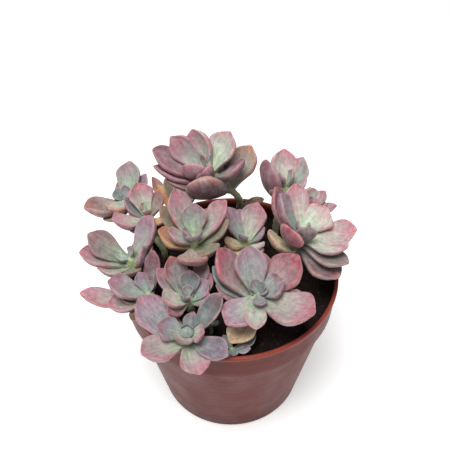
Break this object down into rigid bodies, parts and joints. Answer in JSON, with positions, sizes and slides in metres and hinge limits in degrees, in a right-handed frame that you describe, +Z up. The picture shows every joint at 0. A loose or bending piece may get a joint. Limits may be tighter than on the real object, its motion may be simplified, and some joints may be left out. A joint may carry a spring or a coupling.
{
  "type": "potted echeveria",
  "caption": "Cluster of fleshy pink and grey-green echeveria rosettes on stems, in a thin tapered plastic nursery pot filled with dark peat.",
  "frame": {"origin": "middle of the flat pad under the pot, on the surface that the pot stands on", "axes": "+Z up along the pot's axis, -Y towards the side that the picture shows, +X to that view's right"},
  "size_m": [0.1448, 0.1324, 0.1583],
  "materials": {
    "pot_plastic": "thin red-brown polypropylene with a soft sheen",
    "peat": "damp dark peat, uneven and matt",
    "leaf_pink": "fleshy leaf, powdery, pink to mauve",
    "leaf_pale": "fleshy leaf, powdery, pale green and cream",
    "leaf_blue": "fleshy leaf, powdery, blue-green"
  },
  "bodies": {
    "root": {"pot": "pot_plastic", "soil": "peat", "rosette_top": "leaf_pink", "rosette_front": "leaf_pink", "rosette_inner_left": "leaf_pale", "rosette_front_left": "leaf_pink", "rosette_left": "leaf_pale", "rosette_left_low": "leaf_pink", "rosette_middle_left": "leaf_pink", "rosette_right": "leaf_pink", "rosette_middle": "leaf_pink", "rosette_back_right": "leaf_pink", "rosette_back_left": "leaf_pale", "rosette_back_left_inner": "leaf_pink", "rosette_back": "leaf_pink", "rosette_back_right_small": "leaf_pale", "offset_inner": "leaf_blue", "offset_front": "leaf_blue"}
  },
  "joints": []
}
